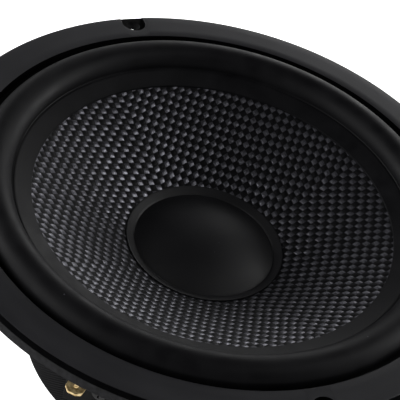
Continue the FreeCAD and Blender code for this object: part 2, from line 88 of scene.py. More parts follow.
FORMER_RADIUS = corners("coil_former")[1][0]
CONE_RADIUS = cone_high[0]
CONE_EDGE = cone_high[2]
CONE_WALL = 0.6
CONE_NECK = cone_low[2] + CONE_WALL
CONE_BULGE = 0.44                # the bell shape, as the arc's height over its chord
BAND_INNER = 54.1                # rubber band glued on the cone
BAND_WALL = 0.48
ROLL_INNER = 60.06
ROLL_OUTER = 70.9
SHOULDER = CONE_EDGE + 0.3
LANDING_OUTER = 75.9
LANDING_TOP = 1.0
ROLL_CREST = surround_high[2]
RUBBER_WALL = 0.6

CAP_RADIUS = corners("dust_cap")[1][0]
DOME_RADIUS = 21.1
DOME_HEIGHT = 6.0
CAP_WALL = 0.5

# Small raised beads, as points in r and z: on the band from the roll's inner edge, and on the cap from the
# dome's foot
BAND_BEAD = [(-0.34, 0.1), (-0.2, 0.3), (-0.06, 0.28)]
DOME_BEAD = [(-0.2, 0.16), (-0.02, 0.14), (0.1, -0.02)]

TOW = 1.9                        # width of one tow of the cone's cloth
QUARTER = math.radians(78.2)     # angle of a quarter of the cone's cloth once it is unrolled
CLOTH_AXIS = math.radians(58.1)  # one tow direction of the cloth
WEAVE_HEIGHT = 0.14              # how far a float's crown stands over its ends
PALE_TOW = ("#38383c", "#86868e")    # darkest and lightest filaments of the metallised tows
DUST = "#5a5a60"

BRUSH_CLIMB = math.radians(39)   # of the fine lines round the boot's side
BRUSH_PITCH = 0.75
FLOOR_GLOW = 1.17
# Height above the horizon, from 0 to 1, and the colour of the studio there
SKY_STOPS = [(0.05, "#8c8c90"), (0.09, "#e2e2e2"), (0.24, "#e2e2e2"), (0.29, "#1c1c1e"), (1.0, "#161618")]
LAMP_DISTANCE = 1.2
LAMPS = {                        # azimuth from +X towards +Y, elevation, side in metres, power in watts
    "low_strip": (45, 12, 0.5, 6.9),
    "far_strip": (95, 12, 0.5, 2.4),
    "left_strip": (180, 12, 0.5, 5.7),
    "near_strip": (225, 12, 0.5, 2.5),
    "near_fill": (225, 35, 0.5, 2.9),
    "high_strip": (40, 35, 0.5, 2.0),
    "top_fill": (0, 60, 0.6, 1.0),
}

SPIDER_COLLAR = 17.65
SPIDER_LANDING = 42.0
SPIDER_PITCH = 4.6
SPIDER_HEIGHT = 1.3
LEAD_RADIUS = 0.6
LEAD_START = (6.4, -60.45, -18.0)    # behind the tab
LEAD_END = (3.9, -17.85, -23.8)      # at the coil
LEAD_ROUTE = [                       # y and z of the control points between the two
    (-54.5, -19.8),
    (-47.5, -22.0),
    (-40.0, -23.4),
    (-32.0, -24.2),
    (-24.5, -24.2),
]


# ---------------------------------------------------------------- mesh helpers
def arc(start, middle, end, count):
    """Points along the circle through three (r, z) points, evenly spaced by angle."""
    (ax, ay), (bx, by), (cx, cy) = start, middle, end
    d = 2 * (ax * (by - cy) + bx * (cy - ay) + cx * (ay - by))
    a2, b2, c2 = ax * ax + ay * ay, bx * bx + by * by, cx * cx + cy * cy
    ox = (a2 * (by - cy) + b2 * (cy - ay) + c2 * (ay - by)) / d
    oy = (a2 * (cx - bx) + b2 * (ax - cx) + c2 * (bx - ax)) / d
    radius = math.hypot(ax - ox, ay - oy)
    first = math.atan2(ay - oy, ax - ox)
    mid = (math.atan2(by - oy, bx - ox) - first) % TURN
    last = (math.atan2(cy - oy, cx - ox) - first) % TURN
    if mid > last:
        last -= TURN
    angle = first + np.linspace(0, last, count)
    return np.stack([ox + radius * np.cos(angle), oy + radius * np.sin(angle)], 1)


def rounded(points, count=7):
    """A closed outline of (r, z, radius) points, each corner an arc of its own radius tangent to both
    sides."""
    spots = np.array(points, float)
    out = []
    for i, here in enumerate(spots[:, :2]):
        radius = spots[i, 2]
        u = spots[i - 1, :2] - here
        v = spots[(i + 1) % len(spots), :2] - here
        u /= np.linalg.norm(u)
        v /= np.linalg.norm(v)
        half = math.acos(float(np.clip(u @ v, -1, 1))) / 2
        centre = here + (u + v) / np.linalg.norm(u + v) * (radius / math.sin(half))
        start = here + u * radius / math.tan(half) - centre
        end = here + v * radius / math.tan(half) - centre
        first = math.atan2(start[1], start[0])
        sweep = (math.atan2(end[1], end[0]) - first + math.pi) % TURN - math.pi
        angle = first + np.linspace(0, sweep, count)
        out.append(centre + radius * np.stack([np.cos(angle), np.sin(angle)], 1))
    return np.concatenate(out)


def grid_mesh(name, points, wrap_rows=True, wrap_columns=True, uv=None, sharp=40.0):
    """Quads over a rows by columns grid of points in millimetres; either way may close on itself.
    Doubled points, as at a pole, are merged, and the faces are turned outwards."""
    rows, columns = points.shape[:2]
    r, c = np.meshgrid(
        np.arange(rows if wrap_rows else rows - 1),
        np.arange(columns if wrap_columns else columns - 1),
        indexing="ij",
    )
    r2, c2 = (r + 1) % rows, (c + 1) % columns
    quads = np.stack([r * columns + c, r2 * columns + c, r2 * columns + c2, r * columns + c2], -1)
    quads = quads.reshape(-1, 4)
    mesh = bpy.data.meshes.new(name)
    mesh.vertices.add(rows * columns)
    mesh.vertices.foreach_set("co", (points * MM).astype(np.float32).ravel())
    mesh.loops.add(quads.size)
    mesh.loops.foreach_set("vertex_index", quads.astype(np.int32).ravel())
    mesh.polygons.add(len(quads))
    mesh.polygons.foreach_set("loop_start", np.arange(0, quads.size, 4, dtype=np.int32))
    mesh.update(calc_edges=True)
    if uv is not None:
        layer = mesh.uv_layers.new(name="cloth")
        layer.data.foreach_set("uv", uv.reshape(-1, 2)[quads.ravel()].astype(np.float32).ravel())
    work = bmesh.new()
    work.from_mesh(mesh)
    bmesh.ops.remove_doubles(work, verts=work.verts, dist=1e-7)
    bmesh.ops.recalc_face_normals(work, faces=work.faces)
    work.to_mesh(mesh)
    work.free()
    shade_smooth(mesh, sharp)
    return mesh


def shade_smooth(mesh, sharp):
    """Smooth shading with edges over an angle in degrees kept sharp."""
    mesh.polygons.foreach_set("use_smooth", np.ones(len(mesh.polygons), bool))
    mesh.set_sharp_from_angle(angle=math.radians(sharp))
    mesh.update()


def carried_round(profile, count):
    """A profile of (r, z) points carried round the axis: x = r cos, y = r sin."""
    angle = np.linspace(0, TURN, count, endpoint=False)
    r, z = profile[:, 0][:, None], profile[:, 1][:, None]
    return np.stack([r * np.cos(angle), r * np.sin(angle), z + 0 * angle], -1)


def tube_points(path, radii, sides=8):
    """Rings of points round a path: each stands square to the path, at its own radius, with the first and
    last ring drawn in to a point."""
    along = np.gradient(path, axis=0)
    along /= np.linalg.norm(along, axis=1)[:, None]
    side = np.cross(along, [0.0, 0.0, 1.0])
    side /= np.linalg.norm(side, axis=1)[:, None]
    up = np.cross(side, along)
    angle = np.linspace(0, TURN, sides, endpoint=False)[None, :, None]
    rings = path[:, None] + radii * (np.cos(angle) * side[:, None] + np.sin(angle) * up[:, None])
    caps = np.repeat(path[[0, -1]][:, None], sides, 1)
    return np.concatenate([caps[:1], rings, caps[1:]])


def piece(name, mesh, finish, body, *nodes, slot=None):
    """A new object with its material, riding on a body and standing for frame nodes."""
    thing = bpy.data.objects.new(name, mesh)
    bpy.context.scene.collection.objects.link(thing)
    mesh.materials.clear()
    mesh.materials.append(finish)
    if body:
        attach(thing, body)
    if nodes:
        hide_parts(*nodes)
    return thing


def finished_node(node, finish, body, bevel=0.0, slot=None, sharp=30.0):
    """A frame node's own shape with merged points, smooth shading and softened edges."""
    mesh = frame["nodes"][node].data.copy()
    mesh.name = node + "_shape"
    work = bmesh.new()
    work.from_mesh(mesh)
    bmesh.ops.remove_doubles(work, verts=work.verts, dist=2e-6)
    bmesh.ops.dissolve_degenerate(work, edges=work.edges, dist=1e-6)
    work.to_mesh(mesh)
    work.free()
    shade_smooth(mesh, sharp)
    thing = piece(node + "_finished", mesh, finish, body, node, slot=slot)
    if bevel:
        edge = thing.modifiers.new("softened edges", "BEVEL")
        edge.width = bevel * MM
        edge.segments = 2
        edge.limit_method = "ANGLE"
        edge.angle_limit = math.radians(sharp)
        edge.harden_normals = True
    return thing


# ---------------------------------------------------------------- material helpers
def linear(code):
    """An sRGB hex colour as linear RGBA."""
    parts = np.array([int(code[i:i + 2], 16) for i in (1, 3, 5)]) / 255
    value = np.where(parts <= 0.04045, parts / 12.92, ((parts + 0.055) / 1.055) ** 2.4)
    return (*value.tolist(), 1.0)


def add(tree, kind, inputs=None, output=0, stops=(), **settings):
    """Adds a node and returns one of its outputs. Inputs are values or other nodes' outputs, and stops are
    a colour ramp's places and hex colours."""
    made = tree.nodes.new("ShaderNode" + kind)
    for key, value in settings.items():
        setattr(made, key, value)
    feed(tree, made, inputs or {})
    for i, (place, colour) in enumerate(stops):
        if i < 2:
            element = made.color_ramp.elements[i]
            element.position = place
        else:
            element = made.color_ramp.elements.new(place)
        element.color = linear(colour)
    return made.outputs[output]


def feed(tree, node, inputs):
    """Gives each named input of a node a value or a link."""
    for key, value in inputs.items():
        if isinstance(value, bpy.types.NodeSocket):
            tree.links.new(value, node.inputs[key])
        else:
            node.inputs[key].default_value = value


def new_finish(name):
    """An empty material, its node tree and its Principled shader."""
    finish = bpy.data.materials.new(name)
    finish.use_nodes = True
    return finish, finish.node_tree, finish.node_tree.nodes["Principled BSDF"]


def grained(name, dark, light, rough, lump, grain, depth, spread=0.06, **sockets):
    """A finish whose colour drifts between two shades over lumps of a size in mm, with a fine grain of a
    size and depth in mm in its bump and a roughness that drifts with the colour. Returns the material, its
    tree, its shader and the parts that a pattern may be added to."""
    finish, tree, shader = new_finish(name)
    place = add(tree, "TexCoord", output=3)
    slow = add(tree, "TexNoise", {"Vector": place, "Scale": 1000 / lump, "Detail": 4.0})
    fine = add(tree, "TexNoise", {"Vector": place, "Scale": 1000 / grain, "Detail": 2.0})
    colour = add(tree, "ValToRGB", {0: slow}, stops=[(0.3, dark), (0.7, light)])
    gloss = add(tree, "MapRange", {0: slow, 1: 0.3, 2: 0.7, 3: rough - spread, 4: rough + spread})
    normal = add(tree, "Bump", {"Height": fine, "Distance": depth * MM})
    feed(tree, shader, {"Base Color": colour, "Roughness": gloss, "Normal": normal})
    for key, value in sockets.items():
        shader.inputs[key.replace("_", " ")].default_value = value
    return finish, tree, shader, {"place": place, "colour": colour, "normal": normal}


def radius_of(tree, place):
    """Distance from the axis in mm, from Object coordinates."""
    flat = add(tree, "VectorMath", {0: place, 1: (1000, 1000, 0)}, operation="MULTIPLY")
    return add(tree, "VectorMath", {0: flat}, output=1, operation="LENGTH")


# ---------------------------------------------------------------- materials
def woven_glass_resin():
    """Glass cloth hot pressed with dark resin: pale metallised tows one way and black tows the other make
    crisp squares, each rounded over its crown and streaked along its filaments. The pale tows carry painted
    shade towards each float's edges and ends and a painted highlight on its crown."""
    finish, tree, shader = new_finish("glass_cloth_resin_pressed")
    place = add(tree, "UVMap", uv_map="cloth")
    spot = add(tree, "VectorMath", {0: place}, operation="FRACTION")
    cell = add(tree, "VectorMath", {0: place}, operation="FLOOR")
    total = add(tree, "VectorMath", {0: cell, 1: (1, 1, 0)}, output=1, operation="DOT_PRODUCT")
    odd = add(tree, "Math", {0: total, 1: 2.0}, operation="FLOORED_MODULO")
    centred = add(tree, "VectorMath", {0: spot, 1: (0.5, 0.5, 0)}, operation="SUBTRACT")
    away = add(tree, "VectorMath", {0: centred}, operation="ABSOLUTE")
    u = add(tree, "SeparateXYZ", {0: away})
    v = add(tree, "SeparateXYZ", {0: away}, output=1)
    along = add(tree, "Mix", {0: odd, 2: u, 3: v})
    across = add(tree, "Mix", {0: odd, 2: v, 3: u})
    end = add(tree, "MapRange", {0: along, 1: 0.43, 2: 0.49, 3: 1.0, 4: 0.0})
    side = add(tree, "MapRange", {0: across, 1: 0.42, 2: 0.48, 3: 1.0, 4: 0.0})
    inside = add(tree, "Math", {0: end, 1: side}, operation="MULTIPLY")
    humps = []
    for distance, width in ((across, 2.9), (along, 2.5)):
        bent = add(tree, "Math", {0: distance, 1: width}, operation="MULTIPLY")
        humps.append(add(tree, "Math", {0: bent}, operation="COSINE"))
    crown = add(tree, "Math", {0: humps[0], 1: humps[1]}, operation="MULTIPLY")
    streaks = []
    for stretch in ((1.6, 14, 1), (14, 1.6, 1)):
        drawn = add(tree, "Mapping", {0: place, "Scale": stretch})
        streaks.append(add(tree, "TexNoise", {"Vector": drawn, "Scale": 1.0, "Detail": 2.0}))
    streak = add(tree, "Mix", {0: odd, 2: streaks[0], 3: streaks[1]})
    wander = add(tree, "TexNoise", {"Vector": place, "Scale": 0.9, "Detail": 3.0})
    pale = add(tree, "ValToRGB", {0: streak}, stops=[(0.3, PALE_TOW[0]), (0.7, PALE_TOW[1])])
    dark = add(tree, "ValToRGB", {0: streak}, stops=[(0.3, "#030304"), (0.7, "#141416")])
    share = add(tree, "Math", {0: odd, 1: inside}, operation="MULTIPLY")
    lift = add(tree, "MapRange", {0: wander, 1: 0.3, 2: 0.7, 3: 0.7, 4: 1.25})
    # painted shade and highlight: each pale float's colour is darkened towards its edges and ends and
    # brightened on its crown
    rise = add(tree, "MapRange", {0: crown, 1: 0.0, 2: 0.9, 3: 0.55, 4: 1.15})
    lift = add(tree, "Math", {0: lift, 1: rise}, operation="MULTIPLY")
    pale = add(tree, "HueSaturation", {"Value": lift, "Color": pale})
    colour = add(tree, "Mix", {0: share, 6: dark, 7: pale}, output=2, data_type="RGBA")
    fuzz = add(tree, "Math", {0: streak, 1: 0.6}, operation="MULTIPLY")
    relief = add(tree, "Math", {0: fuzz, 1: crown}, operation="ADD")
    feed(tree, shader, {
        "Base Color": colour,
        "Metallic": add(tree, "Math", {0: share, 1: 0.8}, operation="MULTIPLY"),
        "Roughness": add(tree, "MapRange", {0: share, 3: 0.5, 4: 0.28}),
        "Normal": add(tree, "Bump", {"Height": relief, "Distance": 0.10 * MM}),
        "IOR": 1.2,
    })
    return finish


def dusted(tree, shader, made, apart, share):
    """Puts pale specks of dust on a finish, apart in mm, in a share of the places."""
    cells = add(tree, "TexVoronoi", {"Vector": made["place"], "Scale": 1000 / apart}, output=1)
    reach = add(tree, "TexVoronoi", {"Vector": made["place"], "Scale": 1000 / apart})
    draw = add(tree, "SeparateXYZ", {0: cells})
    pick = add(tree, "Math", {0: draw, 1: 1 - share}, operation="GREATER_THAN")
    near = add(tree, "MapRange", {0: reach, 1: 0.03, 2: 0.06, 3: 1.0, 4: 0.0})
    speck = add(tree, "Math", {0: pick, 1: near}, operation="MULTIPLY")
    colour = add(tree, "Mix", {0: speck, 6: made["colour"], 7: linear(DUST)}, output=2, data_type="RGBA")
    feed(tree, shader, {"Base Color": colour})


def moulded_rubber():
    """Nitrile rubber from a satin mould: near black and faintly mottled, with a few pale specks of dust."""
    finish, tree, shader, made = grained("nitrile_rubber_moulded", "#0e0e10", "#161618", 0.52, 6.0, 0.4,
                                         0.010, 0.06, IOR=1.22)
    dusted(tree, shader, made, 3.4, 0.14)
    return finish


def cap_polypropylene():
    """Polypropylene from a satin mould: smooth soft black, with a few specks of dust."""
    finish, tree, shader, made = grained("polypropylene_moulded", "#171719", "#1d1d1f", 0.48, 14.0, 0.35,
                                         0.008, 0.04, IOR=1.35)
    dusted(tree, shader, made, 2.6, 0.2)
    return finish


def ring_abs():
    """ABS from a spark-eroded mould: an even fine grain that keeps the gloss of the face low."""
    return grained("abs_moulded_fine_grain", "#222225", "#29292c", 0.46, 16.0, 0.3, 0.012, 0.03, IOR=1.45)[0]


def ring_edge_painted_shade():
    """Painted shade: a near-black copy of the ring's ABS, rough and of low IOR, on its outer slope and
    the walls below its face, for the shadow gap beside the face's edge, which shows as a crisp line."""
    return grained("abs_coarse_grain_painted_shade", "#040405", "#0a0a0b", 0.85, 5.0, 0.25, 0.02, 0.05, IOR=1.08)[0]


def powder_coated_casting():
    """Cast aluminium with a black powder coat: dull, mottled and lightly pitted like orange peel. Its
    flange's front face is painted near black as painted shade, for the shade in the trim ring's notches."""
    finish, tree, shader, made = grained("aluminium_cast_powder_coated", "#060607", "#222224", 0.68, 1.6,
                                         0.45, 0.03, 0.08, IOR=1.16)
    # painted shade: the flange's front face, seen in the trim ring's notches, is painted near black
    z = add(tree, "SeparateXYZ", {0: made["place"]}, output=2)
    front = add(tree, "MapRange", {0: z, 1: (FLANGE_TOP - 0.3) * MM, 2: (FLANGE_TOP - 0.1) * MM})
    colour = add(tree, "Mix", {0: front, 6: made["colour"], 7: linear("#020202")}, output=2, data_type="RGBA")
    feed(tree, shader, {"Base Color": colour})
    return finish


def die_cut_foam():
    """Polyethylene foam cut with a die: dull, with open cells of about half a millimetre."""
    finish, tree, shader, made = grained("polyethylene_foam_die_cut", "#161617", "#202021", 0.9, 3.0, 0.6,
                                         0.05, 0.05, IOR=1.45)
    cells = add(tree, "TexVoronoi", {"Vector": made["place"], "Scale": 1000 / 0.55})
    feed(tree, shader, {"Normal": add(tree, "Bump", {"Height": cells, "Distance": 0.10 * MM})})
    return finish


def moulded_boot():
    """Soft PVC from a blasted mould: matt black, with fine lines that climb its side at a slant, left by
    the brush that cleaned the mould."""
    finish, tree, shader, made = grained("pvc_moulded_matt", "#0e0e0f", "#161617", 0.85, 9.0, 0.5, 0.02,
                                         0.06, IOR=1.1)
    axes = [add(tree, "SeparateXYZ", {0: made["place"]}, output=i) for i in range(3)]
    angle = add(tree, "Math", {0: axes[1], 1: axes[0]}, operation="ARCTAN2")
    around = add(tree, "Math", {0: angle, 1: -boot_high[0] * math.sin(BRUSH_CLIMB)}, operation="MULTIPLY")
    height = add(tree, "Math", {0: axes[2], 1: math.cos(BRUSH_CLIMB) / MM}, operation="MULTIPLY")
    across = add(tree, "Math", {0: around, 1: height}, operation="ADD")
    turns = add(tree, "Math", {0: across, 1: TURN / BRUSH_PITCH}, operation="MULTIPLY")
    wave = add(tree, "Math", {0: turns}, operation="SINE")
    side = add(tree, "MapRange", {
        0: radius_of(tree, made["place"]), 1: boot_high[0] - 1.0, 2: boot_high[0] - 0.3,
    })
    lines = add(tree, "Math", {0: wave, 1: side}, operation="MULTIPLY")
    shade = add(tree, "MapRange", {0: lines, 1: -1.0, 2: 1.0, 3: 0.2, 4: 1.8})
    feed(tree, shader, {
        "Base Color": add(tree, "HueSaturation", {"Value": shade, "Color": made["colour"]}),
        "Normal": add(tree, "Bump", {"Height": lines, "Distance": 0.03 * MM, "Normal": made["normal"]}),
    })
    return finish


def turned_zinc():
    """Mild steel turned on a lathe and zinc plated: bluish grey, with fine rings left by the tool."""
    finish, tree, shader, made = grained("steel_turned_zinc_plated", "#85878b", "#a5a8ad", 0.34, 7.0, 0.2,
                                         0.003, 0.06, Metallic=1.0)
    rings = add(tree, "Math", {0: radius_of(tree, made["place"]), 1: TURN / 0.35}, operation="MULTIPLY")
    groove = add(tree, "Math", {0: rings}, operation="SINE")
    feed(tree, shader, {
        "Normal": add(tree, "Bump", {"Height": groove, "Distance": 0.006 * MM, "Normal": made["normal"]}),
    })
    return finish


def ground_ferrite():
    """Sintered strontium ferrite, ground on its faces: dark slate grey and slightly sparkling."""
    return grained("ferrite_sintered_ground", "#26272a", "#323337", 0.55, 2.5, 0.25, 0.02, 0.1, IOR=2.2)[0]


def black_oxide_steel():
    """Steel screws blackened in salts: dark, half glossy and slightly brown where handled."""
    return grained("steel_black_oxide", "#070707", "#0f0e0d", 0.55, 2.0, 0.2, 0.004, 0.08, IOR=1.3)[0]


def punched_fibre():
    """Vulcanised fibre board punched from sheet: matt black with a faint paper grain."""
    return grained("vulcanised_fibre_punched", "#0a0a0b", "#131313", 0.7, 4.0, 0.22, 0.012, 0.06, IOR=1.15)[0]


def enamelled_copper():
    """Copper magnet wire under clear enamel: deep reddish brown and glossy."""
    return grained("copper_wire_enamelled", "#84391b", "#a9552a", 0.28, 4.0, 0.2, 0.003, Metallic=1.0)[0]


def rolled_foil():
    """Rolled aluminium foil: pale grey with a fine grain."""
    return grained("aluminium_foil_rolled", "#97999d", "#b5b7bb", 0.33, 6.0, 0.3, 0.004, Metallic=1.0)[0]


def reflowed_solder():
    """Tin and lead solder, melted on and frosted as it set."""
    return grained("solder_reflowed", "#8b8d91", "#b7b9bd", 0.28, 1.5, 0.35, 0.02, Metallic=1.0)[0]


def braided_tinsel():
    """Copper tinsel braid: warm, its shade and gloss drifting over lumps smaller than a millimetre."""
    return grained("copper_tinsel_braided", "#6f3d20", "#b87445", 0.4, 0.7, 0.22, 0.04, Metallic=1.0)[0]


def gold_plated_brass():
    """Stamped brass with a flash of gold: warm, with draw lines along the blade and a dulled patch or two."""
    finish, tree, shader, made = grained("brass_gold_plated", "#94773f", "#ecd6a4", 0.58, 0.9, 0.25, 0.004,
                                         0.1, Metallic=0.5)
    drawn = add(tree, "Mapping", {0: made["place"], "Scale": (9, 0.6, 9)})
    line = add(tree, "TexNoise", {"Vector": drawn, "Scale": 1000.0, "Detail": 2.0})
    feed(tree, shader, {
        "Normal": add(tree, "Bump", {"Height": line, "Distance": 0.008 * MM, "Normal": made["normal"]}),
    })
    return finish


def phenolic_cloth():
    """Cotton cloth dipped in phenolic resin and hot pressed: amber, with its plain weave of 0.7 mm threads
    still showing."""
    finish, tree, shader, made = grained("cotton_cloth_phenolic_pressed", "#7a5521", "#a87c35", 0.7, 6.0,
                                         0.3, 0.03, 0.08, IOR=1.5)
    threads = []
    for axis in range(2):
        x = add(tree, "SeparateXYZ", {0: made["place"]}, output=axis)
        turns = add(tree, "Math", {0: x, 1: TURN / (0.7 * MM)}, operation="MULTIPLY")
        threads.append(add(tree, "Math", {0: turns}, operation="SINE"))
    woven = add(tree, "Math", {0: threads[0], 1: threads[1]}, operation="MULTIPLY")
    shade = add(tree, "MapRange", {0: woven, 1: -1.0, 2: 1.0, 3: 0.7, 4: 1.2})
    feed(tree, shader, {
        "Base Color": add(tree, "HueSaturation", {"Value": shade, "Color": made["colour"]}),
        "Normal": add(tree, "Bump", {"Height": woven, "Distance": 0.08 * MM, "Normal": made["normal"]}),
    })
    return finish


def drawn_steel_wire():
    """Bright drawn wire of the vent's screen, dulled by handling."""
    return grained("steel_wire_drawn", "#606266", "#85878b", 0.35, 1.0, 0.2, 0.004, Metallic=1.0)[0]


rubber = moulded_rubber()
zinc = turned_zinc()
copper = enamelled_copper()
black_steel = black_oxide_steel()
gold = gold_plated_brass()
tinsel = braided_tinsel()


# ---------------------------------------------------------------- cone, surround and cap
def cone_front(r):
    """Height of the cone's front on its profile's arc, which stands CONE_BULGE over its chord."""
    dr, dz = CONE_RADIUS - FORMER_RADIUS, CONE_EDGE - CONE_NECK
    chord = math.hypot(dr, dz)
    radius = (chord ** 2 / 4 + CONE_BULGE ** 2) / (2 * CONE_BULGE)
    back = radius - CONE_BULGE
    centre_r = (CONE_RADIUS + FORMER_RADIUS) / 2 + dz / chord * back
    centre_z = (CONE_EDGE + CONE_NECK) / 2 - dr / chord * back
    return centre_z + np.sqrt(radius ** 2 - (r - centre_r) ** 2)


def cloth_place(r, angle):
    """Where a point of the cone lies on its flat cloth, in tows. Each quarter of the cone unrolls to a
    sector, and tows run parallel to the sector's two edges, so a quarter's oblique coordinates are
    s = d sin(Q - a) / sin Q and t = d sin a / sin Q for slant distance d and unrolled angle a."""
    slope = math.atan2(CONE_EDGE - CONE_NECK, CONE_RADIUS - FORMER_RADIUS)
    slant = r / math.cos(slope) / TOW
    turned = (angle - CLOTH_AXIS) % TURN
    quarter = np.floor(turned / (TURN / 4))
    a = (turned - quarter * TURN / 4) / (TURN / 4) * QUARTER
    s = slant * np.sin(QUARTER - a) / math.sin(QUARTER)
    t = slant * np.sin(a) / math.sin(QUARTER)
    c, d = np.cos(quarter * TURN / 4), np.sin(quarter * TURN / 4)
    return np.stack([c * s - d * t, d * s + c * t], -1)


def float_crown(place):
    """Relief of a plain weave: in each cell the top float is a flattened cosine along and across it."""
    cell = np.floor(place)
    f = place - cell - 0.5
    odd = cell.sum(-1) % 2 > 0.5
    along = np.where(odd, f[..., 1], f[..., 0])
    across = np.where(odd, f[..., 0], f[..., 1])
    return np.cos(math.pi * along) ** 0.7 * np.cos(math.pi * 0.9 * across) ** 0.5


def make_cone():
    """Closed shell: the front profile with the weave's relief between cap and rubber band, then the back."""
    weave_start, weave_end = CAP_RADIUS - 0.6, BAND_INNER + 0.6
    front_r = np.concatenate([
        np.linspace(FORMER_RADIUS, weave_start, 4, endpoint=False),
        np.linspace(weave_start, weave_end, 92, endpoint=False),
        np.linspace(weave_end, CONE_RADIUS, 3),
    ])
    back_r = np.linspace(CONE_RADIUS, FORMER_RADIUS, 12)
    profile = np.concatenate([
        np.stack([front_r, cone_front(front_r)], 1),
        np.stack([back_r, cone_front(back_r) - CONE_WALL], 1),
    ])
    count = 880
    points = carried_round(profile, count)
    place = cloth_place(profile[:, 0][:, None], np.linspace(0, TURN, count, endpoint=False)[None, :])
    inside = (front_r >= weave_start) & (front_r < weave_end)
    share = np.concatenate([inside, np.zeros(len(back_r), bool)])[:, None]
    points[..., 2] += share * WEAVE_HEIGHT * (float_crown(place) - 1.0)
    mesh = grid_mesh("woven_cone", points, uv=place, sharp=80)
    return piece("woven_cone", mesh, woven_glass_resin(), "diaphragm", "cone", slot="woven_cone")


def share_by_radius(thing):
    """Bakes a ring's placing into its points and reads the points out; nothing is bent by this, and the
    points read are not used further."""
    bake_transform(thing)
    place = np.empty(len(thing.data.vertices) * 3, np.float32)
    thing.data.vertices.foreach_get("co", place)


def make_surround():
    """Rubber band, half roll and landing as one thin closed profile carried round."""
    middle = (ROLL_INNER + ROLL_OUTER) / 2
    foot = float(cone_front(BAND_INNER))
    band_r = np.linspace(BAND_INNER + 0.3, CONE_RADIUS, 10)
    roll = arc((ROLL_INNER, SHOULDER), (middle, ROLL_CREST), (ROLL_OUTER, LANDING_TOP), 56)
    under = arc((ROLL_OUTER - RUBBER_WALL, LANDING_TOP - RUBBER_WALL), (middle, ROLL_CREST - RUBBER_WALL),
                (ROLL_INNER + RUBBER_WALL, SHOULDER - RUBBER_WALL * 0.6), 40)
    profile = np.concatenate([
        [(BAND_INNER, foot + BAND_WALL * 0.55), (BAND_INNER + 0.1, foot + BAND_WALL + 0.06)],
        np.stack([band_r, cone_front(band_r) + BAND_WALL], 1),
        np.add(BAND_BEAD, (ROLL_INNER, SHOULDER)),
        roll,
        [(ROLL_OUTER + 0.4, LANDING_TOP), (LANDING_OUTER, LANDING_TOP)],
        [(LANDING_OUTER, LANDING_TOP - RUBBER_WALL)],
        under,
        [(CONE_RADIUS, CONE_EDGE + 0.01), (BAND_INNER, foot + 0.01)],
    ])
    mesh = grid_mesh("rubber_surround", carried_round(profile, 480), sharp=40)
    thing = piece("rubber_surround", mesh, rubber, None, "surround", slot="surround_rubber")
    share_by_radius(thing)
    return thing


def make_dust_cap():
    """Thin dome, part of a sphere, with a lip on the cone, closed at its top inside and out."""
    foot = float(cone_front(DOME_RADIUS)) + CAP_WALL
    crown = (DOME_RADIUS ** 2 + DOME_HEIGHT ** 2) / (2 * DOME_HEIGHT)
    centre = foot + DOME_HEIGHT - crown
    dome_r = np.linspace(0, DOME_RADIUS - 0.35, 40)
    inner_r = np.linspace(DOME_RADIUS - CAP_WALL, 0, 24)
    lip_r = np.linspace(DOME_RADIUS + 0.25, CAP_RADIUS - 0.25, 6)
    low_r = np.linspace(CAP_RADIUS, DOME_RADIUS - CAP_WALL, 6)
    rim = float(cone_front(CAP_RADIUS))
    profile = np.concatenate([
        np.stack([dome_r, centre + np.sqrt(crown ** 2 - dome_r ** 2)], 1),
        np.add(DOME_BEAD, (DOME_RADIUS, foot)),
        np.stack([lip_r, cone_front(lip_r) + CAP_WALL], 1),
        [(CAP_RADIUS - 0.07, rim + CAP_WALL * 0.84), (CAP_RADIUS, rim + CAP_WALL * 0.6)],
        np.stack([low_r, cone_front(low_r)], 1),
        np.stack([inner_r, centre + np.sqrt((crown - CAP_WALL) ** 2 - inner_r ** 2)], 1),
    ])
    mesh = grid_mesh("domed_cap", carried_round(profile, 240), wrap_rows=False, sharp=60)
    return piece("domed_cap", mesh, cap_polypropylene(), "diaphragm", "dust_cap", slot="cap_plastic")


# ---------------------------------------------------------------- coil, spider and leads
def make_spider():
    """Corrugated cloth ring: each half wave is an arc, in turn over and under the middle, between a flat
    collar and a flat landing."""
    rolls = 2 * max(1, round((SPIDER_LANDING - SPIDER_COLLAR) / (2 * SPIDER_PITCH)))
    slack = 0.92                     # share of the CAD disc's wall that leaves room for the curved rolls
    wall = (spider_high[2] - spider_low[2] - 2 * SPIDER_HEIGHT) * slack
    middle_z = (spider_low[2] + spider_high[2]) / 2
    edges = np.linspace(SPIDER_COLLAR, SPIDER_LANDING, rolls + 1)
    runs = [np.array([(FORMER_RADIUS, middle_z)])]
    for i in range(rolls):
        peak = middle_z + (SPIDER_HEIGHT if i % 2 == 0 else -SPIDER_HEIGHT)
        half = ((edges[i] + edges[i + 1]) / 2, peak)
        runs.append(arc((edges[i], middle_z), half, (edges[i + 1], middle_z), 18)[:-1])
    runs.append(np.array([(SPIDER_LANDING, middle_z), (spider_high[0], middle_z)]))
    line = np.concatenate(runs)
    lift = np.array([0, wall / 2])
    mesh = grid_mesh("spider_disc", carried_round(np.concatenate([line + lift, line[::-1] - lift]), 256),
                     sharp=75)
    thing = piece("spider_disc", mesh, phenolic_cloth(), None, "spider", slot="spider_cloth")
    share_by_radius(thing)
    return thing


def make_winding():
    """Copper sleeve whose outside is a row of round turns of wire: each turn's section is a half circle."""
    turns = 24
    z = np.linspace(winding_low[2], winding_high[2], 8 * turns + 1)
    phase = (z - winding_low[2]) / (winding_high[2] - winding_low[2]) * math.pi * turns
    wire = (winding_high[2] - winding_low[2]) / turns / 2
    outside = np.stack([winding_high[0] - wire * (1 - np.abs(np.sin(phase))), z], 1)
    back = [(FORMER_RADIUS, winding_high[2]), (FORMER_RADIUS, winding_low[2])]
    mesh = grid_mesh("coil_turns", carried_round(np.concatenate([outside, back]), 128), sharp=70)
    return piece("coil_turns", mesh, copper, "diaphragm", "coil_winding", slot="copper_wire")


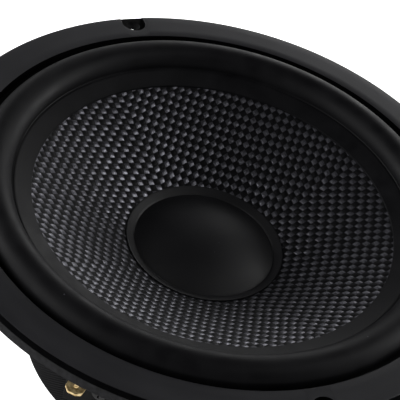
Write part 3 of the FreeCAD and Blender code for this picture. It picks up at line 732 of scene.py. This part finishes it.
def spline_points(route, count):
    """Points in mm along the quadratic spline of a list of control points in mm."""
    curve = bpy.data.curves.new("route", "CURVE")
    curve.dimensions = "3D"
    curve.resolution_u = count
    spline = curve.splines.new("NURBS")
    spline.points.add(len(route) - 1)
    for point, place in zip(spline.points, route):
        point.co = (*(np.array(place) * MM), 1.0)
    spline.order_u = 3
    spline.use_endpoint_u = True
    holder = bpy.data.objects.new("route", curve)
    mesh = bpy.data.meshes.new_from_object(holder)
    points = np.empty(len(mesh.vertices) * 3, np.float32)
    mesh.vertices.foreach_get("co", points)
    bpy.data.objects.remove(holder)
    bpy.data.curves.remove(curve)
    bpy.data.meshes.remove(mesh)
    return points.reshape(-1, 3) / MM


def make_lead(node):
    """Braided lead along its route: a tube whose radius swells where two sets of strands, wound left and
    right, cross over each other."""
    side = 1 if corners(node)[0][0] > 0 else -1
    start = np.array([side * LEAD_START[0], *LEAD_START[1:]])
    end = np.array([side * LEAD_END[0], *LEAD_END[1:]])
    route = [start]
    for y, z in LEAD_ROUTE:
        share = (y - start[1]) / (end[1] - start[1])
        route.append(np.array([start[0] + (end[0] - start[0]) * share, y, z]))
    route.append(end)
    path = spline_points(route, 60)
    run = np.concatenate([[0], np.cumsum(np.linalg.norm(np.diff(path, axis=0), axis=1))])
    sides = 20
    angle = np.linspace(0, TURN, sides, endpoint=False)
    strands, pitch = 4, TURN / 1.8
    mean, swell = 0.86, 0.10         # as shares of the lead's radius
    left = np.sin(strands * angle[None, :] + pitch * run[:, None])
    right = np.sin(strands * angle[None, :] - pitch * run[:, None])
    radii = LEAD_RADIUS * (mean + swell * left * right)
    mesh = grid_mesh(node + "_braid", tube_points(path, radii[..., None], sides), wrap_rows=False, sharp=80)
    thing = piece(node + "_braid", mesh, tinsel, None, node, slot="lead_braid")
    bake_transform(thing)
    return thing


# ---------------------------------------------------------------- trim ring, boot and vent screen
def ring_outline(radius, notch, count=110):
    """Outline of the ring at one level: four arcs of a radius, broken at each screw by a notch with two
    straight sides and a half circle about the screw."""
    half = math.asin(notch / radius)
    reach = math.sqrt(radius ** 2 - notch ** 2)
    straight = np.linspace(reach, SCREW_CIRCLE, 6)[:-1, None]
    bend = np.linspace(0, math.pi, 24)[:, None]
    runs = []
    for i, screw in enumerate(SCREW_ANGLES):
        following = SCREW_ANGLES[(i + 1) % 4] + (TURN if i == 3 else 0)
        outward = np.array([math.cos(screw), math.sin(screw)])
        side = np.array([-math.sin(screw), math.cos(screw)])
        runs.append(straight * outward - notch * side)
        runs.append(SCREW_CIRCLE * outward - notch * (np.sin(bend) * outward + np.cos(bend) * side))
        runs.append(straight[::-1] * outward + notch * side)
        angle = np.linspace(screw + half, following - half, count)[1:-1]
        runs.append(radius * np.stack([np.cos(angle), np.sin(angle)], 1))
    return np.concatenate(runs)


def make_trim_ring():
    """Flat ring made of levels: each row is the outer outline or a circle of the opening at its height. The
    corners of the section are rounded by a tenth or two of a millimetre."""
    soft = 0.2
    edge_slope = (FLANGE_RADIUS - FACE_RADIUS) / (RING_TOP - FLANGE_TOP)
    outer_rows = [
        (FACE_RADIUS - soft, NOTCH_RADIUS + soft, RING_TOP),
        (FACE_RADIUS - soft * 0.3, NOTCH_RADIUS + soft * 0.4, RING_TOP - soft * 0.12),
        (FACE_RADIUS + soft * 0.25, NOTCH_RADIUS + soft * 0.1, RING_TOP - soft * 0.45),
        (FACE_RADIUS + soft * edge_slope, NOTCH_RADIUS, RING_TOP - soft),
        (FLANGE_RADIUS - 0.05, NOTCH_RADIUS, FLANGE_TOP + 0.05),
        (FLANGE_RADIUS - 0.05, NOTCH_RADIUS, FLANGE_TOP),
    ]
    top = ring_outline(*outer_rows[0][:2])
    angle = np.arctan2(top[:, 1], top[:, 0])
    unit = np.stack([np.cos(angle), np.sin(angle)], 1)
    inner_rows = [
        (RING_OPENING, RING_LIP_BOTTOM),
        (RING_OPENING, RING_TOP - soft),
        (RING_OPENING + soft * 0.3, RING_TOP - soft * 0.3),
        (RING_OPENING + soft, RING_TOP),
    ]
    levels = [(unit * r, z) for r, z in inner_rows]
    for share in (0.3, 0.7):
        levels.append((unit * (RING_OPENING + soft) * (1 - share) + top * share, RING_TOP))
    levels += [(ring_outline(radius, notch), z) for radius, notch, z in outer_rows]
    levels += [(unit * RING_LIP_RADIUS, FLANGE_TOP), (unit * RING_LIP_RADIUS, RING_LIP_BOTTOM)]
    rows = [np.concatenate([flat, np.full((len(flat), 1), z)], 1) for flat, z in levels]
    mesh = grid_mesh("front_ring", np.stack(rows), sharp=35)
    thing = piece("front_ring", mesh, ring_abs(), "frame", "trim_ring", slot="trim_plastic")
    # the second slot is a near-black copy of the ABS: painted shade on the outer slope and the walls below
    # the face
    mesh.materials.append(ring_edge_painted_shade())
    for face in mesh.polygons:
        face.material_index = int(face.center.z < (RING_TOP - soft * 0.6) * MM)
    return thing


def make_boot():
    """Moulded cup over the magnet: a section of straight walls with rounded corners, carried round."""
    outer, low, top = boot_high[0], boot_low[2], boot_high[2]
    wall, floor, opening = 1.6, 1.4, 18.0
    points = [
        (opening, low, 0.5),
        (outer, low, 1.3),
        (outer, top, 0.6),
        (outer - wall, top, 0.3),
        (outer - wall, low + floor, 0.3),
        (opening, low + floor, 0.3),
    ]
    mesh = grid_mesh("moulded_boot", carried_round(rounded(points), 256), sharp=50)
    return piece("moulded_boot", mesh, moulded_boot(), "frame", "magnet_boot", slot="boot_rubber")


def make_vent_screen():
    """Plain woven wire cloth cut round: each wire is a tube whose height is a cosine, over one crossing
    wire and under the next, inside a flat rim."""
    pitch, wire, rise = 1.0, 0.11, 0.09
    rim_width, rim_half, rim_edge = 0.5, 0.22, 0.08
    reach = mesh_high[0] - rim_width / 2
    middle = (mesh_low[2] + mesh_high[2]) / 2
    grids = []
    wires = math.floor(reach / pitch)    # on each side of the middle one
    offsets = np.arange(-wires, wires + 1) * pitch
    for turned in (0, 1):
        for i, offset in enumerate(offsets):
            half = math.sqrt(reach ** 2 - offset ** 2)
            t = np.linspace(-half, half, 60)
            phase = math.pi * (t / pitch + i + turned)
            z = middle + rise * np.cos(phase)
            flat = [t, np.full_like(t, offset)]
            path = np.stack([flat[turned], flat[1 - turned], z], 1)
            grids.append(tube_points(path, wire, 6))
    work = bmesh.new()
    for grid in grids:
        part = grid_mesh("wire", grid, wrap_rows=False)
        work.from_mesh(part)
        bpy.data.meshes.remove(part)
    rim = rounded([
        (reach - rim_width, middle - rim_half, rim_edge),
        (mesh_high[0], middle - rim_half, rim_edge),
        (mesh_high[0], middle + rim_half, rim_edge),
        (reach - rim_width, middle + rim_half, rim_edge),
    ], 4)
    part = grid_mesh("rim", carried_round(rim, 64))
    work.from_mesh(part)
    bpy.data.meshes.remove(part)
    mesh = bpy.data.meshes.new("vent_screen")
    work.to_mesh(mesh)
    work.free()
    shade_smooth(mesh, 40)
    return piece("vent_screen", mesh, drawn_steel_wire(), "frame", "vent_mesh", slot="mesh_steel")


# ---------------------------------------------------------------- build
make_cone()
make_surround()
make_dust_cap()
make_spider()
make_winding()
make_lead("positive_lead")
make_lead("negative_lead")
make_trim_ring()
make_boot()
make_vent_screen()

finished_node("basket", powder_coated_casting(), "frame", 0.35, slot="cast_basket")
finished_node("mounting_gasket", die_cut_foam(), "frame", 0.15, slot="foam")
finished_node("coil_former", rolled_foil(), "diaphragm", slot="former_foil")
finished_node("coil_lead_joints", reflowed_solder(), "diaphragm", 0.4, slot="solder")
finished_node("top_plate", zinc, "frame", 0.3, slot="zinc_steel")
finished_node("magnet", ground_ferrite(), "frame", 0.5, slot="ferrite")
finished_node("yoke", zinc, "frame", 0.4, slot="zinc_steel")
finished_node("shorting_ring", copper, "frame", 0.2, slot="copper_wire")
finished_node("plate_screws", black_steel, "frame", 0.2, slot="black_steel")
finished_node("terminal_board", punched_fibre(), "frame", 0.12, slot="fibre_board")
finished_node("positive_tab", gold, "frame", 0.08, slot="gold_plate")
finished_node("negative_tab", gold, "frame", 0.08, slot="gold_plate")
finished_node("tab_rivets", gold, "frame", 0.15, slot="gold_plate")
finished_node("board_screws", black_steel, "frame", 0.12, slot="black_steel")


# ---------------------------------------------------------------- floor, light and camera
def make_floor():
    """Wide pale floor under the driver, lit a little from within like a light table."""
    finish, tree, shader = new_finish("opal_acrylic_light_table")
    place = add(tree, "TexCoord", output=3)
    shade = add(tree, "TexNoise", {"Vector": place, "Scale": 3.0, "Detail": 2.0})
    colour = add(tree, "ValToRGB", {0: shade}, stops=[(0.3, "#f6f6f6"), (0.7, "#fbfbfb")])
    feed(tree, shader, {
        "Base Color": colour,
        "Roughness": 0.9,
        "Emission Color": linear("#ffffff"),
        "Emission Strength": FLOOR_GLOW,
    })
    size = 6000.0
    x, y = np.meshgrid([-size, size], [-size, size], indexing="ij")
    points = np.stack([x, y, np.full_like(x, boot_low[2])], -1)
    piece("floor", grid_mesh("floor", points, False, False), finish, None)


def make_lamp(name, azimuth, elevation, size, power):
    """A square lamp that faces the driver."""
    data = bpy.data.lights.new(name, "AREA")
    data.shape = "SQUARE"
    data.size = size
    data.energy = power
    lamp = bpy.data.objects.new(name, data)
    a, e = math.radians(azimuth), math.radians(elevation)
    away = Vector((math.cos(a) * math.cos(e), math.sin(a) * math.cos(e), math.sin(e)))
    lamp.location = away * LAMP_DISTANCE
    lamp.rotation_euler = away.to_track_quat("Z", "Y").to_euler()
    bpy.context.scene.collection.objects.link(lamp)


def make_world():
    """Studio surround: grey at the horizon, with a bright band low above it, and dim overhead."""
    world = bpy.data.worlds.new("studio")
    bpy.context.scene.world = world
    world.use_nodes = True
    tree = world.node_tree
    place = add(tree, "TexCoord")
    height = add(tree, "SeparateXYZ", {0: place}, output=2)
    colour = add(tree, "ValToRGB", {0: height}, stops=SKY_STOPS)
    feed(tree, tree.nodes["Background"], {"Color": colour, "Strength": 1.0})


def make_camera():
    """A long lens from above the front, turned about its own axis."""
    azimuth, elevation = math.radians(-76.9), math.radians(41.573)
    roll, aim_right, aim_up = math.radians(16.64), -0.010676, -0.007383
    lens, distance = 140.04, 0.45254     # in mm, and in metres from the middle of the ring's face
    away = Vector((
        math.cos(azimuth) * math.cos(elevation),
        math.sin(azimuth) * math.cos(elevation),
        math.sin(elevation),
    ))
    ahead = -away
    right = ahead.cross(Vector((0, 0, 1))).normalized()
    up = right.cross(ahead)
    ahead = ahead * (math.cos(aim_right) * math.cos(aim_up))
    ahead += right * (math.sin(aim_right) * math.cos(aim_up)) + up * math.sin(aim_up)
    right = ahead.cross(up).normalized()
    up = right.cross(ahead)
    turned_right = right * math.cos(roll) + up * math.sin(roll)
    turned_up = up * math.cos(roll) - right * math.sin(roll)
    data = bpy.data.cameras.new("camera")
    data.sensor_width = 36.0
    data.lens = lens
    camera = bpy.data.objects.new("camera", data)
    turn = Matrix((turned_right, turned_up, -ahead)).transposed()
    middle = Vector((0, 0, RING_TOP * MM))
    camera.matrix_world = Matrix.Translation(middle + away * distance) @ turn.to_4x4()
    bpy.context.scene.collection.objects.link(camera)
    bpy.context.scene.camera = camera


make_floor()
make_world()
for lamp_name, settings in LAMPS.items():
    make_lamp(lamp_name, *settings)
make_camera()
bpy.context.scene.view_settings.view_transform = "Standard"
